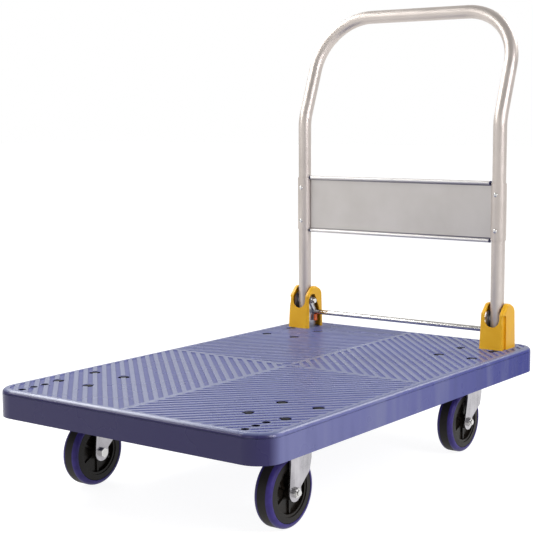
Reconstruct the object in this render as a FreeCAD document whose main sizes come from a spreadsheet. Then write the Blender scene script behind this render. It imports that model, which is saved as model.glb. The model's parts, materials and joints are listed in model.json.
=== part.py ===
import FreeCAD, Part
import math
import os
import re
import Sketcher

# Folding platform cart: a moulded deck on two rigid and two swivel casters, with a bent tube
# handle that folds down over the deck between two covered hinge brackets.
# Millimetres. +Z up from the floor, +Y towards the handle end. Left is -X and right is +X, as
# seen from the front end looking towards the handle. The origin is on the floor, under the
# middle of the whole cart's footprint.

document = FreeCAD.newDocument("PlatformCart")
sheet = document.addObject("Spreadsheet::Sheet", "Sizes")

dimensions = {
    # deck moulding
    "deckLength": 950, "deckWidth": 610, "deckCorner": 45, "deckDepth": 50,
    "deckSkin": 5, "deckWall": 4, "deckEdge": 8, "seatDrop": 43,
    "groovePitch": 17.2, "grooveWide": 9, "grooveDeep": 1.2, "grooveBorder": 13,
    "crossRib": 11, "seatMargin": 3, "lipDrop": 8.6, "lipHeight": 1.6, "lipDepth": 1.2, "markRadius": 13,
    "ribThickness": 3, "ribDepth": 26, "ribPitch": 70, "crossRibPitch": 95,
    "bossWall": 4, "bossMargin": 3, "tieHoleRadius": 7, "tieHolePitch": 27,
    "tieHoleInset": 22, "tieHoleSideInset": 55, "holeLand": 1.5, "hingeBossDepth": 20,
    # caster places and plates
    "casterSideInset": 85, "frontCasterInset": 162, "rearCasterInset": 160,
    "wheelGap": 14.2, "plateWidth": 98, "plateLength": 115, "plateThickness": 3,
    "plateCorner": 8, "boltSpacingWidth": 75, "boltSpacingLength": 92, "boltRadius": 4,
    "boltHeadRadius": 7, "boltHeadHeight": 5, "headRoom": 4,
    "counterboreDepth": 6, "nutRadius": 7.5, "nutHeight": 6.5, "boltEnd": 1.5,
    # caster forks
    "hubGap": 1, "forkSheet": 3, "legEndRadius": 16, "shoulderRise": 50,
    "waistRise": 28, "waistInset": 6, "heelRise": 7, "rigidLegFront": 12,
    "rigidLegBack": 46, "swivelLegFront": 4, "swivelLegBack": 55, "swivelTrail": 30,
    "raceRadius": 31, "raceHeight": 6, "raceGap": 0.8, "ballRadius": 3,
    "ballRing": 22, "ballCount": 12, "kingpinRadius": 6, "kingpinHead": 10,
    "kingpinHeadHeight": 5, "runningFit": 0.06, "clearance": 0.3,
    # wheels and axles
    "wheelRadius": 62.5, "treadThickness": 9, "treadWidth": 34, "treadRound": 8,
    "cushionInner": 43, "cushionWidth": 33, "cushionRound": 1.5, "rimThickness": 5,
    "rimWidth": 30, "hubWidth": 40, "hubRadius": 14, "webThickness": 18,
    "spokeThickness": 4, "spokeCount": 6, "sleeveRadius": 8, "axleRadius": 5,
    "axleHeadRadius": 9, "axleHeadHeight": 6.5, "axleEnd": 2.5,
    # handle
    "postSideInset": 59, "postInset": 75, "tubeRadius": 14.3, "tubeWall": 1.5,
    "pivotRise": 61.5, "footLength": 21, "plugFlange": 2.5, "plugLength": 12,
    "kneeRise": 473, "kneeBend": 90, "leanAngle": 20.5, "leanLength": 246, "topBend": 124,
    # sign panel between the posts
    "panelRise": 220, "panelHeight": 128, "panelSheet": 1.5, "beadRadius": 4,
    "saddleLow": 6, "saddleHigh": 4.5, "saddleSheet": 1.6, "saddleGap": 0.1, "saddleTab": 12,
    "panelGap": 1.2, "rivetRadius": 2.4, "rivetHead": 4.5, "rivetHeadHeight": 1.8,
    "rivetLow": 19.5, "rivetHigh": 23, "rivetGrip": 2,
    # hinge brackets and covers
    "bracketSheet": 2.5, "bracketGap": 0.7, "cheekRadius": 18, "bracketBase": 3,
    "bracketLength": 48, "bracketScrewX": 18, "bracketScrewY": 32, "screwRadius": 3,
    "screwHeadRadius": 5, "screwHeadHeight": 3.5, "screwLength": 20, "pivotRadius": 5,
    "pivotHeadRadius": 8.5, "pivotHeadHeight": 4.5, "bushRadius": 7, "coverGap": 2,
    "coverHeight": 94, "coverFront": 30, "coverRear": 35, "coverWall": 3,
    "coverRound": 5, "coverCrest": 11, "slotClearance": 3, "windowLength": 45, "windowHeight": 77,
    "grooveWidth": 13.5, "grooveDepth": 4, "grooveHeight": 72, "grooveInset": 5.5, "grooveWall": 1.5,
    # release bar
    "barRadius": 5.5, "barBack": 14, "barDrop": 27.5, "linkSheet": 2, "linkGap": 0.5,
    "eyeRadius": 9, "linkBossRadius": 7.5, "tailDrop": 47, "padWidth": 4,
    "padLength": 11, "padHeight": 14, "springRadius": 6.5, "springWire": 0.6,
    "springTurns": 3, "springPitch": 1.3,
}
for row, (alias, value) in enumerate(dimensions.items(), start=1):
    sheet.set(f"A{row}", alias)
    sheet.set(f"B{row}", str(value))
    sheet.setAlias(f"B{row}", alias)
document.recompute()

# Levels and places that several pieces share, as formulas of the cells.
casterHeight = "(2 * wheelRadius + wheelGap + 2 * raceHeight + raceGap + plateThickness)"
deckTop = f"({casterHeight} + seatDrop)"
skirtBottom = f"({deckTop} - deckDepth)"
postX = "(deckWidth / 2 - postSideInset)"
postY = "(deckLength / 2 - postInset)"
pivotZ = f"({deckTop} + pivotRise)"
plateBottom = f"({casterHeight} - plateThickness)"
raceBottom = f"({plateBottom} - raceHeight)"
crownTop = f"({raceBottom} - raceGap)"
crownBottom = f"({crownTop} - raceHeight)"
casterX = "(deckWidth / 2 - casterSideInset)"
casterPlaces = {
    "front": "-(deckLength / 2 - frontCasterInset)",
    "rear": "(deckLength / 2 - rearCasterInset)",
}
cheekInner = f"({postX} - tubeRadius - bracketGap)"
linkOuter = f"({cheekInner} - bracketSheet - linkGap)"
coverWidth = ("(2 * (tubeRadius + bracketGap + bracketSheet + pivotHeadHeight"
              " + coverGap + coverWall))")
forkGap = "(hubWidth + 2 * hubGap)"
counterboreRadius = "(boltHeadRadius + headRoom)"
saddleBottom = f"({deckTop} + panelRise + saddleLow)"
saddleHeight = "(panelHeight - saddleLow - saddleHigh)"
rivetRises = [f"({saddleBottom} + rivetLow)", f"({saddleBottom} + {saddleHeight} - rivetHigh)"]
# The handle leans out past the deck, so the deck stands half of that in front of the origin.
deckShift = "((postInset - leanLength * sin(leanAngle) - tubeRadius) / 2)"
sides = {"left": -1, "right": 1}
subParts = []


def formula(text):
    """The formula with each dimension's name pointing at its cell."""
    text = str(text)
    return re.sub(r"[A-Za-z]\w*", lambda word: named(word.group()), text)


def named(word):
    return f"Sizes.{word}" if word in dimensions else word


def bind(thing, **formulas):
    """Binds properties to formulas: x, y and z are the places along the axes."""
    for key, text in formulas.items():
        name = f"Placement.Base.{key}" if key in ("x", "y", "z") else key
        thing.setExpression(name, formula(text))


def size(text):
    """The number that a formula gives, for shapes that are worked out in code."""
    return float(sheet.evalExpression(formula(text)))


def box(width, length, height, x=0, y=0, z=0):
    """A box centred on x and y that stands on z."""
    solid = document.addObject("Part::Box", "Box")
    bind(solid, Length=width, Width=length, Height=height)
    bind(solid, x=f"{x} - ({width}) / 2", y=f"{y} - ({length}) / 2", z=z)
    return solid


turns = {
    "X": FreeCAD.Rotation(FreeCAD.Vector(0, 1, 0), 90),
    "Y": FreeCAD.Rotation(FreeCAD.Vector(1, 0, 0), -90),
    "Z": FreeCAD.Rotation(),
}


def rod(radius, length, x=0, y=0, z=0, axis="Z"):
    """A round bar that starts at the point and runs along the axis."""
    solid = document.addObject("Part::Cylinder", "Rod")
    solid.Placement.Rotation = turns[axis]
    bind(solid, Radius=radius, Height=length, x=x, y=y, z=z)
    return solid


def hexagon(radius, height, x=0, y=0, z=0, axis="Z"):
    solid = document.addObject("Part::Prism", "Hexagon")
    solid.Polygon = 6
    solid.Placement.Rotation = turns[axis]
    bind(solid, Circumradius=radius, Height=height, x=x, y=y, z=z)
    return solid


def fuse(*solids):
    joined = document.addObject("Part::MultiFuse", "Joined")
    joined.Shapes = list(solids)
    joined.Refine = True
    return joined


def cut(base, *tools):
    result = document.addObject("Part::Cut", "Cut")
    result.Base = base
    result.Tool = tools[0] if len(tools) == 1 else fuse(*tools)
    return result


def common(base, tool):
    result = document.addObject("Part::Common", "Common")
    result.Base = base
    result.Tool = tool
    return result


def group(solids):
    together = document.addObject("Part::Compound", "Group")
    together.Links = solids
    return together


def newBody(name):
    return document.addObject("PartDesign::Body", name)


def sketchOn(body, role, x=0, y=0, z=0):
    """An empty sketch on one of the body's origin planes, moved within and off the plane."""
    sketch = body.newObject("Sketcher::SketchObject", "Sketch")
    plane = next(item for item in body.Origin.OriginFeatures if item.Role == role)
    sketch.AttachmentSupport = (plane, [""])
    sketch.MapMode = "FlatFace"
    for key, text in (("x", x), ("y", y), ("z", z)):
        sketch.setExpression(f"AttachmentOffset.Base.{key}", formula(text))
    return sketch


def outline(sketch, points):
    """A closed outline of straight lines through points given as pairs of formulas."""
    count = len(points)
    for index in range(count):
        turn = 2 * math.pi / count
        start = FreeCAD.Vector(math.cos(index * turn), math.sin(index * turn), 0)
        end = FreeCAD.Vector(math.cos(index * turn + turn), math.sin(index * turn + turn), 0)
        sketch.addGeometry(Part.LineSegment(start, end))
    for index in range(count):
        sketch.addConstraint(Sketcher.Constraint("Coincident", index, 2, (index + 1) % count, 1))
    for index, point in enumerate(points):
        for kind, text in zip(("DistanceX", "DistanceY"), point):
            number = sketch.addConstraint(Sketcher.Constraint(kind, -1, 1, index, 1, 1.0))
            sketch.setExpression(f"Constraints[{number}]", formula(text))


def rectangle(sketch, width, height):
    """A rectangle centred on the sketch's own origin."""
    right, top = f"({width}) / 2", f"({height}) / 2"
    corners = [(f"-{right}", f"-{top}"), (right, f"-{top}"), (right, top), (f"-{right}", top)]
    outline(sketch, corners)


def circle(sketch, radius, x="0", y="0"):
    shape = Part.Circle(FreeCAD.Vector(1, 1, 0), FreeCAD.Vector(0, 0, 1), 5)
    index = sketch.addGeometry(shape)
    number = sketch.addConstraint(Sketcher.Constraint("Radius", index, 5.0))
    sketch.setExpression(f"Constraints[{number}]", formula(radius))
    for kind, text in (("DistanceX", x), ("DistanceY", y)):
        number = sketch.addConstraint(Sketcher.Constraint(kind, -1, 1, index, 3, 1.0))
        sketch.setExpression(f"Constraints[{number}]", formula(text))


def pad(body, sketch, length, side="Symmetric"):
    feature = body.newObject("PartDesign::Pad", "Pad")
    feature.Profile = sketch
    feature.SideType = side
    bind(feature, Length=length)
    return feature


def pocket(body, sketch, length):
    """Removes the sketch's shape, half of the length on each side of the sketch."""
    document.recompute()
    before = body.Tip.Shape.Volume
    feature = body.newObject("PartDesign::Pocket", "Pocket")
    feature.Profile = sketch
    feature.SideType = "Symmetric"
    bind(feature, Length=length)
    document.recompute()
    assert feature.Shape.Volume < before, f"{body.Label}: the pocket removes nothing"
    return feature


def soften(body, base, radius, chosen):
    """Fillets the edges that chosen() picks from the base feature."""
    document.recompute()
    names = [f"Edge{n}" for n, edge in enumerate(base.Shape.Edges, start=1) if chosen(edge)]
    assert names, f"{body.Label}: there is no edge to fillet"
    feature = body.newObject("PartDesign::Fillet", "Fillet")
    feature.Base = (base, names)
    bind(feature, Radius=radius)
    return feature


def upright(edge):
    start, end = edge.Vertexes[0].Point, edge.Vertexes[-1].Point
    return abs(start.x - end.x) < 1e-6 and abs(start.y - end.y) < 1e-6 and len(edge.Vertexes) == 2


def block(width, length, height, corner, x=0, y=0, z=0):
    """A box with rounded upright edges, as a body of its own."""
    body = newBody("Block")
    sketch = sketchOn(body, "XY_Plane")
    rectangle(sketch, width, length)
    plain = pad(body, sketch, height, "One side")
    soften(body, plain, corner, upright)
    bind(body, x=x, y=y, z=z)
    return body


def finish(name, piece, x="0", y="0", z="0"):
    """Names a finished sub-part and stands it where it belongs."""
    piece.Label = name
    bind(piece, x=x, y=f"{y} + {deckShift}", z=z)
    subParts.append(piece)
    return piece


def boltPlaces():
    """The four bolt places of a caster plate, from the plate's centre."""
    across = ("-boltSpacingWidth / 2", "boltSpacingWidth / 2")
    along = ("-boltSpacingLength / 2", "boltSpacingLength / 2")
    return [(x, y) for x in across for y in along]


def casterCentres():
    return [
        (end, side, f"{sign} * {casterX}", casterPlaces[end])
        for end in casterPlaces
        for side, sign in sides.items()
    ]


# ---------------------------------------------------------------- deck
def tieHolePlaces():
    """Three holes in a line near each front corner."""
    return [
        (f"{sign} * (deckWidth / 2 - tieHoleSideInset)",
         f"-deckLength / 2 + tieHoleInset + {step} * tieHolePitch")
        for sign in sides.values()
        for step in range(3)
    ]


def treadGrooves():
    """Slanting channels in each quarter of the deck top, turned a right angle from one quarter
    to the next, with a flat cross and border left between them."""
    reach = math.hypot(size("deckWidth"), size("deckLength")) / 4
    count = math.ceil(reach / size("groovePitch"))
    level = f"({deckTop} - grooveDeep)"
    quarters = []
    for across in sides.values():
        for along in sides.values():
            channels = []
            for step in range(-count, count + 1):
                channel = document.addObject("Part::Box", "Channel")
                bind(channel, Length="grooveWide", Width="deckWidth + deckLength",
                     Height="2 * grooveDeep")
                turn = FreeCAD.Rotation(FreeCAD.Vector(0, 0, 1), 45 * across * along)
                channel.Placement.Rotation = turn
                offset = f"({step} * groovePitch - grooveWide / 2)"
                slant, half = "cos(45)", "(deckWidth + deckLength) / 2"
                turned = across * along
                x = f"{across} * deckWidth / 4 + {slant} * ({offset} + {turned} * {half})"
                y = f"{along} * deckLength / 4 + {slant} * ({turned} * {offset} - {half})"
                bind(channel, x=x, y=y, z=level)
                channels.append(channel)
            field = box("deckWidth / 2", "deckLength / 2", "4 * grooveDeep",
                        f"{across} * (crossRib / 2 + deckWidth / 4)",
                        f"{along} * (crossRib / 2 + deckLength / 4)", f"{level} - grooveDeep")
            quarters.append(common(group(channels), field))
    inside = block("deckWidth - 2 * grooveBorder", "deckLength - 2 * grooveBorder",
                   "4 * grooveDeep", "deckCorner - grooveBorder", z=f"{level} - grooveDeep")
    length = "coverFront + coverRear + 2 * seatMargin"
    seats = [
        box(f"{coverWidth} + 2 * seatMargin", length, "4 * grooveDeep", f"{sign} * {postX}",
            f"{postY} + (coverRear - coverFront) / 2", f"{level} - grooveDeep")
        for sign in sides.values()
    ]
    lands = [
        rod("tieHoleRadius + holeLand", "4 * grooveDeep", x, y, f"{level} - grooveDeep")
        for x, y in tieHolePlaces()
    ]
    return common(group(quarters), cut(inside, *seats, *lands))


def lipGroove():
    """A shallow line round the skirt, a little under the rim."""
    level = f"{deckTop} - lipDrop"
    outer = block("deckWidth + 2 * deckWall", "deckLength + 2 * deckWall", "lipHeight",
                  "deckCorner + deckWall", z=level)
    inner = block("deckWidth - 2 * lipDepth", "deckLength - 2 * lipDepth", "lipHeight",
                  "deckCorner - lipDepth", z=level)
    return cut(outer, inner)


def deckTools():
    """Everything that is drilled out of the deck."""
    tools = []
    for end, side, centreX, centreY in casterCentres():
        for x, y in boltPlaces():
            placeX, placeY = f"{centreX} + {x}", f"{centreY} + {y}"
            tools.append(rod("boltRadius", "deckDepth", placeX, placeY, skirtBottom))
            recess = f"{deckTop} - counterboreDepth"
            tools.append(rod(counterboreRadius, "2 * counterboreDepth", placeX, placeY, recess))
    for sign in sides.values():
        for x, y in bracketScrewPlaces(sign):
            start = f"{deckTop} - screwLength"
            tools.append(rod("screwRadius", "screwLength + bracketBase", x, y, start))
    for x, y in tieHolePlaces():
        start = f"{deckTop} - ribDepth - deckSkin"
        tools.append(rod("tieHoleRadius", "ribDepth + 2 * deckSkin", x, y, start))
    return tools


def casterBoss(centreX, centreY):
    """A walled box under the deck that a caster plate bolts to."""
    width, length = "(plateWidth + 2 * bossMargin)", "(plateLength + 2 * bossMargin)"
    height = "(seatDrop - deckSkin / 2)"
    outer = box(width, length, height, centreX, centreY, casterHeight)
    inside = (f"{width} - 2 * bossWall", f"{length} - 2 * bossWall")
    walls = cut(outer, box(*inside, height, centreX, centreY, casterHeight))
    columns = [
        box(f"2 * {counterboreRadius} + 2 * bossWall", f"2 * {counterboreRadius} + 2 * bossWall",
            height, f"{centreX} + {x}", f"{centreY} + {y}", casterHeight)
        for x, y in boltPlaces()
    ]
    webs = [
        box("bossWall", length, height, centreX, centreY, casterHeight),
        box(width, "bossWall", height, centreX, centreY, casterHeight),
    ]
    return [walls] + columns + webs


def makeDeck():
    skin = newBody("DeckSkin")
    sketch = sketchOn(skin, "XY_Plane")
    rectangle(sketch, "deckWidth", "deckLength")
    slab = pad(skin, sketch, "deckDepth", "One side")
    rounded = soften(skin, slab, "deckCorner", upright)
    rim = lambda edge: all(abs(v.Point.z - size("deckDepth")) < 1e-6 for v in edge.Vertexes)
    soften(skin, rounded, "deckEdge", rim)
    bind(skin, z=skirtBottom)
    inside = ("deckWidth - 2 * deckWall", "deckLength - 2 * deckWall")
    hollow = block(*inside, "deckDepth - deckSkin", "deckCorner - deckWall", z=skirtBottom)
    shell = cut(skin, hollow)
    level = f"{deckTop} - deckSkin - ribDepth"
    height = "ribDepth + deckSkin / 2"
    ribs = [
        box("ribThickness", inside[1], height, f"{step} * ribPitch", 0, level)
        for step in range(-3, 4)
    ]
    ribs += [
        box(inside[0], "ribThickness", height, 0, f"{step} * crossRibPitch", level)
        for step in range(-4, 5)
    ]
    bosses = []
    for end, side, centreX, centreY in casterCentres():
        bosses += casterBoss(centreX, centreY)
    for sign in sides.values():
        bosses.append(box(coverWidth, "bracketLength", "hingeBossDepth",
                          f"{sign} * {postX}", postY,
                          f"{deckTop} - deckSkin / 2 - hingeBossDepth"))
    mark = rod("markRadius", "deckEdge", 0, 0, f"{deckTop} - grooveDeep / 2")
    drilled = cut(fuse(shell, *ribs, *bosses), *deckTools(), mark, lipGroove())
    finish("deck", cut(drilled, treadGrooves()))


def makeCasterBolts():
    bolts, nuts = [], []
    for end, side, centreX, centreY in casterCentres():
        for x, y in boltPlaces():
            placeX, placeY = f"{centreX} + {x}", f"{centreY} + {y}"
            seat = f"{deckTop} - counterboreDepth"
            tip = f"({plateBottom} - nutHeight - boltEnd)"
            shank = rod("boltRadius", f"{seat} - {tip}", placeX, placeY, tip)
            bolts.append(fuse(shank, rod("boltHeadRadius", "boltHeadHeight", placeX, placeY, seat)))
            low = f"{plateBottom} - nutHeight"
            nut = hexagon("nutRadius", "nutHeight", placeX, placeY, low)
            nuts.append(cut(nut, rod("boltRadius", "nutHeight", placeX, placeY, low)))
    finish("caster_bolts", group(bolts))
    finish("caster_nuts", group(nuts))


# ---------------------------------------------------------------- casters
def legOutline(axleY, front, back, top):
    """Side view of a fork leg: wide at the crown, narrowing in a curve to the axle eye."""
    shoulder, waist = "wheelRadius + shoulderRise", "wheelRadius + waistRise"
    return [
        (f"{axleY} - {front}", top),
        (f"{axleY} - {front}", shoulder),
        (f"{axleY} - legEndRadius", "wheelRadius"),
        (f"{axleY} + legEndRadius * 0.9", "wheelRadius"),
        (f"{axleY} + legEndRadius", "wheelRadius + heelRise"),
        (f"{axleY} + {back} - waistInset", waist),
        (f"{axleY} + {back}", shoulder),
        (f"{axleY} + {back}", top),
    ]


def forkLegs(name, axleY, front, back, top):
    body = newBody(name)
    legs = sketchOn(body, "YZ_Plane")
    outline(legs, legOutline(axleY, front, back, top))
    pad(body, legs, f"{forkGap} + 2 * forkSheet")
    eye = sketchOn(body, "YZ_Plane")
    circle(eye, "legEndRadius", axleY, "wheelRadius")
    pad(body, eye, f"{forkGap} + 2 * forkSheet")
    channel = sketchOn(body, "YZ_Plane")
    floor, ceiling = "0", f"{top} - forkSheet"
    near, far = f"{axleY} - plateLength", f"{axleY} + plateLength"
    outline(channel, [(near, floor), (far, floor), (far, ceiling), (near, ceiling)])
    pocket(body, channel, forkGap)
    bore = sketchOn(body, "YZ_Plane")
    circle(bore, "axleRadius + runningFit", axleY, "wheelRadius")
    pocket(body, bore, f"{forkGap} + 4 * forkSheet")
    return body


def plateWithHoles(*extras):
    plate = block("plateWidth", "plateLength", "plateThickness", "plateCorner", z=plateBottom)
    holes = [rod("boltRadius", "plateThickness", x, y, plateBottom) for x, y in boltPlaces()]
    return cut(fuse(plate, *extras), *holes) if extras else cut(plate, *holes)


def ballTrack():
    track = document.addObject("Part::Torus", "BallTrack")
    bind(track, Radius1="ballRing", Radius2="ballRadius + runningFit")
    bind(track, z=f"{raceBottom} - raceGap / 2")
    return track


def makeRigidFork(name, x, y):
    legs = forkLegs("RigidFork", "0", "rigidLegFront", "rigidLegBack", plateBottom)
    finish(name, fuse(plateWithHoles(), legs), x, y)


def makeSwivelMount(name, x, y):
    """The plate with its upper race, the balls and the kingpin that the fork hangs on."""
    race = rod("raceRadius", "raceHeight", 0, 0, raceBottom)
    plate = cut(plateWithHoles(race), ballTrack(),
                rod("kingpinRadius", casterHeight, 0, 0, 0))
    finish(f"{name}_plate", plate, x, y)
    height = f"{raceBottom} - raceGap / 2"
    balls = []
    for step in range(dimensions["ballCount"]):
        ball = document.addObject("Part::Sphere", "Ball")
        angle = f"{step} * 360 / ballCount"
        bind(ball, Radius="ballRadius", z=height)
        bind(ball, x=f"ballRing * cos({angle})", y=f"ballRing * sin({angle})")
        balls.append(ball)
    finish(f"{name}_swivel_balls", group(balls), x, y)
    headTop = f"({crownBottom} - clearance)"
    shank = rod("kingpinRadius", f"{casterHeight} - {headTop}", 0, 0, headTop)
    head = rod("kingpinHead", "kingpinHeadHeight", 0, 0, f"{headTop} - kingpinHeadHeight")
    finish(f"{name}_kingpin", fuse(shank, head), x, y)


def makeSwivelFork(name, x, y):
    legs = forkLegs("SwivelFork", "-swivelTrail", "swivelLegFront", "swivelLegBack",
                    f"{crownBottom} + forkSheet")
    crown = rod("raceRadius", "raceHeight", 0, 0, crownBottom)
    bore = rod("kingpinRadius + runningFit", casterHeight, 0, 0, 0)
    finish(name, cut(fuse(legs, crown), bore, ballTrack()), x, y)


def makeAxle(name, sign, x, y):
    """The axle bolt with its nut on the outer side and the sleeve that the wheel turns on."""
    outside = f"({forkGap} / 2 + forkSheet)"
    reach = f"({outside} + axleHeadHeight + axleEnd)"
    shank = rod("axleRadius", f"{outside} + {reach}", f"-{outside}", 0, 0, "X")
    head = hexagon("axleHeadRadius", "axleHeadHeight", f"-{outside} - axleHeadHeight", 0, 0, "X")
    nut = hexagon("axleHeadRadius", "axleHeadHeight", outside, 0, 0, "X")
    hole = rod("axleRadius", "axleHeadHeight", outside, 0, 0, "X")
    sleeve = rod("sleeveRadius", forkGap, f"-{forkGap} / 2", 0, 0, "X")
    bore = rod("axleRadius", forkGap, f"-{forkGap} / 2", 0, 0, "X")
    pieces = {"axle_bolt": fuse(shank, head), "axle_nut": cut(nut, hole),
              "axle_sleeve": cut(sleeve, bore)}
    for piece, solid in pieces.items():
        if sign < 0:
            solid.Placement.Rotation = FreeCAD.Rotation(FreeCAD.Vector(0, 0, 1), 180)
        finish(f"{name}_{piece}", solid, x, y, "wheelRadius")


def revolved(name, points):
    """A ring about the X axis from an outline of places along the axle and radii."""
    body = newBody(name)
    sketch = sketchOn(body, "XZ_Plane")
    outline(sketch, points)
    feature = body.newObject("PartDesign::Revolution", "Revolution")
    feature.Profile = sketch
    feature.ReferenceAxis = (sketch, ["H_Axis"])
    feature.Angle = 360
    document.recompute()
    return body, feature


def band(name, width, inner, outer, rounding):
    """A plain ring whose two outer corners are rounded."""
    half = f"{width} / 2"
    corners = [(f"-{half}", inner), (half, inner), (half, outer), (f"-{half}", outer)]
    body, ring = revolved(name, corners)
    inside = ring.Shape.BoundBox.ZMax - 1e-3
    outerEdge = lambda edge: edge.BoundBox.ZMax > inside and edge.BoundBox.XLength < 1e-3
    soften(body, ring, rounding, outerEdge)
    return body


def makeHub():
    bore, rim = "sleeveRadius + runningFit", "cushionInner - rimThickness"
    steps = [
        ("hubWidth / 2", bore), ("hubWidth / 2", "hubRadius"),
        ("webThickness / 2", "hubRadius"), ("webThickness / 2", rim),
        ("rimWidth / 2", rim), ("rimWidth / 2", "cushionInner"),
    ]
    mirrored = [(f"-({x})", radius) for x, radius in reversed(steps)]
    body, wheel = revolved("Hub", steps + mirrored)
    spoke = sketchOn(body, "YZ_Plane")
    side, low, high = "spokeThickness / 2", "hubRadius - 1", f"{rim} + 1"
    outline(spoke, [(f"-{side}", low), (side, low), (side, high), (f"-{side}", high)])
    single = pad(body, spoke, "rimWidth - 6")
    document.recompute()
    pattern = body.newObject("PartDesign::PolarPattern", "Spokes")
    pattern.Originals = [single]
    axis = next(item for item in body.Origin.OriginFeatures if item.Role == "X_Axis")
    pattern.Axis = (axis, [""])
    pattern.Angle = 360
    pattern.setExpression("Occurrences", "Sizes.spokeCount")
    body.Tip = pattern
    return body


def makeWheel(name, x, y):
    finish(f"{name}_wheel_hub", makeHub(), x, y, "wheelRadius")
    treadInner = "wheelRadius - treadThickness"
    cushion = band("Cushion", "cushionWidth", "cushionInner", treadInner, "cushionRound")
    finish(f"{name}_wheel_cushion", cushion, x, y, "wheelRadius")
    tread = band("Tread", "treadWidth", treadInner, "wheelRadius", "treadRound")
    finish(f"{name}_wheel_tread", tread, x, y, "wheelRadius")


def makeCasters():
    for end, side, x, y in casterCentres():
        name = f"{end}_{side}"
        if end == "front":
            makeRigidFork(f"{name}_fork", x, y)
            axleY = y
        else:
            makeSwivelMount(name, x, y)
            makeSwivelFork(f"{name}_fork", x, y)
            axleY = f"{y} - swivelTrail"
        makeAxle(name, sides[side], x, axleY)
        makeWheel(name, x, axleY)


# ---------------------------------------------------------------- handle
def handlePath():
    """Centre line of the tube: upright legs, a knee each, leaning legs and a bent top bar."""
    reach, depth = size(postX), size(postY)
    floor = size(deckTop)
    lean, bend, corner = math.radians(size("leanAngle")), size("kneeBend"), size("topBend")
    foot = floor + size("pivotRise") - size("footLength")
    knee = FreeCAD.Vector(0, depth, floor + size("kneeRise"))
    rise = FreeCAD.Vector(0, math.sin(lean), math.cos(lean))
    tangent = bend * math.tan(lean / 2)
    kneeStart = knee - FreeCAD.Vector(0, 0, tangent)
    kneeCentre = kneeStart + FreeCAD.Vector(0, bend, 0)
    half = FreeCAD.Vector(0, -math.cos(lean / 2), math.sin(lean / 2))
    kneeMiddle = kneeCentre + half * bend
    cornerStart = knee + rise * (size("leanLength") - corner)
    top = knee + rise * size("leanLength")

    def leg(sign):
        across = FreeCAD.Vector(sign * reach, 0, 0)
        inward = FreeCAD.Vector(-sign, 0, 0)
        centre = cornerStart + across + inward * corner
        middle = centre + (rise - inward) * (corner * math.sqrt(0.5))
        footPoint = FreeCAD.Vector(0, depth, foot) + across
        return [
            Part.LineSegment(footPoint, kneeStart + across),
            Part.Arc(kneeStart + across, kneeMiddle + across, knee + rise * tangent + across),
            Part.LineSegment(knee + rise * tangent + across, cornerStart + across),
            Part.Arc(cornerStart + across, middle, top + across + inward * corner),
        ]

    left, right = leg(-1), leg(1)
    bar = Part.LineSegment(left[-1].EndPoint, right[-1].EndPoint)
    curves = left + [bar] + right[::-1]
    return Part.Wire([curve.toShape() for curve in curves])


def makeHandleTube():
    path = handlePath()
    foot = path.Vertexes[0].Point
    upward = FreeCAD.Vector(0, 0, 1)

    def sweep(radius):
        ring = Part.Wire([Part.makeCircle(radius, foot, upward)])
        return path.makePipeShell([ring], True, False)

    tube = sweep(size("tubeRadius")).cut(sweep(size("tubeRadius") - size("tubeWall")))
    across = FreeCAD.Vector(1, 0, 0)
    for sign in sides.values():
        centre = FreeCAD.Vector(sign * size(postX), foot.y, size(pivotZ))
        start = centre - across * size("bracketLength") / 2
        bore = Part.makeCylinder(size("bushRadius"), size("bracketLength"), start, across)
        tube = tube.cut(bore)
        for rise in rivetRises:
            place = FreeCAD.Vector(centre.x, foot.y, size(rise))
            forward = FreeCAD.Vector(0, -1, 0)
            hole = Part.makeCylinder(size("rivetRadius"), size("tubeRadius") + 1, place, forward)
            tube = tube.cut(hole)
    feature = document.addObject("Part::Feature", "HandleTube")
    feature.Shape = tube
    finish("handle_tube", feature)


def makeHandleFittings(side, sign):
    x = f"{sign} * {postX}"
    foot = f"({pivotZ} - footLength)"
    inner = "(tubeRadius - tubeWall)"
    flange = rod("tubeRadius", "plugFlange", x, postY, f"{foot} - plugFlange")
    stem = rod(inner, "plugLength - clearance", x, postY, foot)
    finish(f"{side}_foot_plug", fuse(flange, stem))
    start = f"{x} - tubeRadius"
    bush = rod("bushRadius", "2 * tubeRadius", start, postY, pivotZ, "X")
    bore = rod("pivotRadius + runningFit", "2 * tubeRadius", start, postY, pivotZ, "X")
    finish(f"{side}_pivot_bush", cut(bush, bore))


def rivetPlaces():
    return [(f"{sign} * {postX}", rise) for sign in sides.values() for rise in rivetRises]


def makePanel():
    width = f"(2 * ({postX} - tubeRadius - saddleGap - saddleSheet - panelGap))"
    low = f"{deckTop} + panelRise"
    web = box(width, "panelSheet", "panelHeight", 0, postY, low)
    beadY = f"{postY} + panelSheet / 2 - beadRadius"
    beads = [
        rod("beadRadius", width, f"-{width} / 2", beadY, z, "X")
        for z in (f"{low} + beadRadius", f"{low} + panelHeight - beadRadius")
    ]
    finish("sign_panel", fuse(web, *beads))


def makeSaddle(side, sign):
    """A sheet sleeve round the post with a tab behind the panel."""
    x, low = f"{sign} * {postX}", saddleBottom
    outer = rod("tubeRadius + saddleGap + saddleSheet", saddleHeight, x, postY, low)
    tabX = f"{sign} * ({postX} - tubeRadius - saddleTab / 2)"
    tabY = f"{postY} + (panelSheet + saddleSheet) / 2"
    tab = box("saddleTab", "saddleSheet", saddleHeight, tabX, tabY, low)
    tools = [rod("tubeRadius + saddleGap", saddleHeight, x, postY, low)]
    for rivetX, z in rivetPlaces():
        if rivetX == x:
            start = f"{postY} - tubeRadius - 2 * saddleSheet"
            tools.append(rod("rivetRadius", "3 * saddleSheet", x, start, z, "Y"))
    finish(f"{side}_panel_saddle", cut(fuse(outer, tab), *tools))


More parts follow.
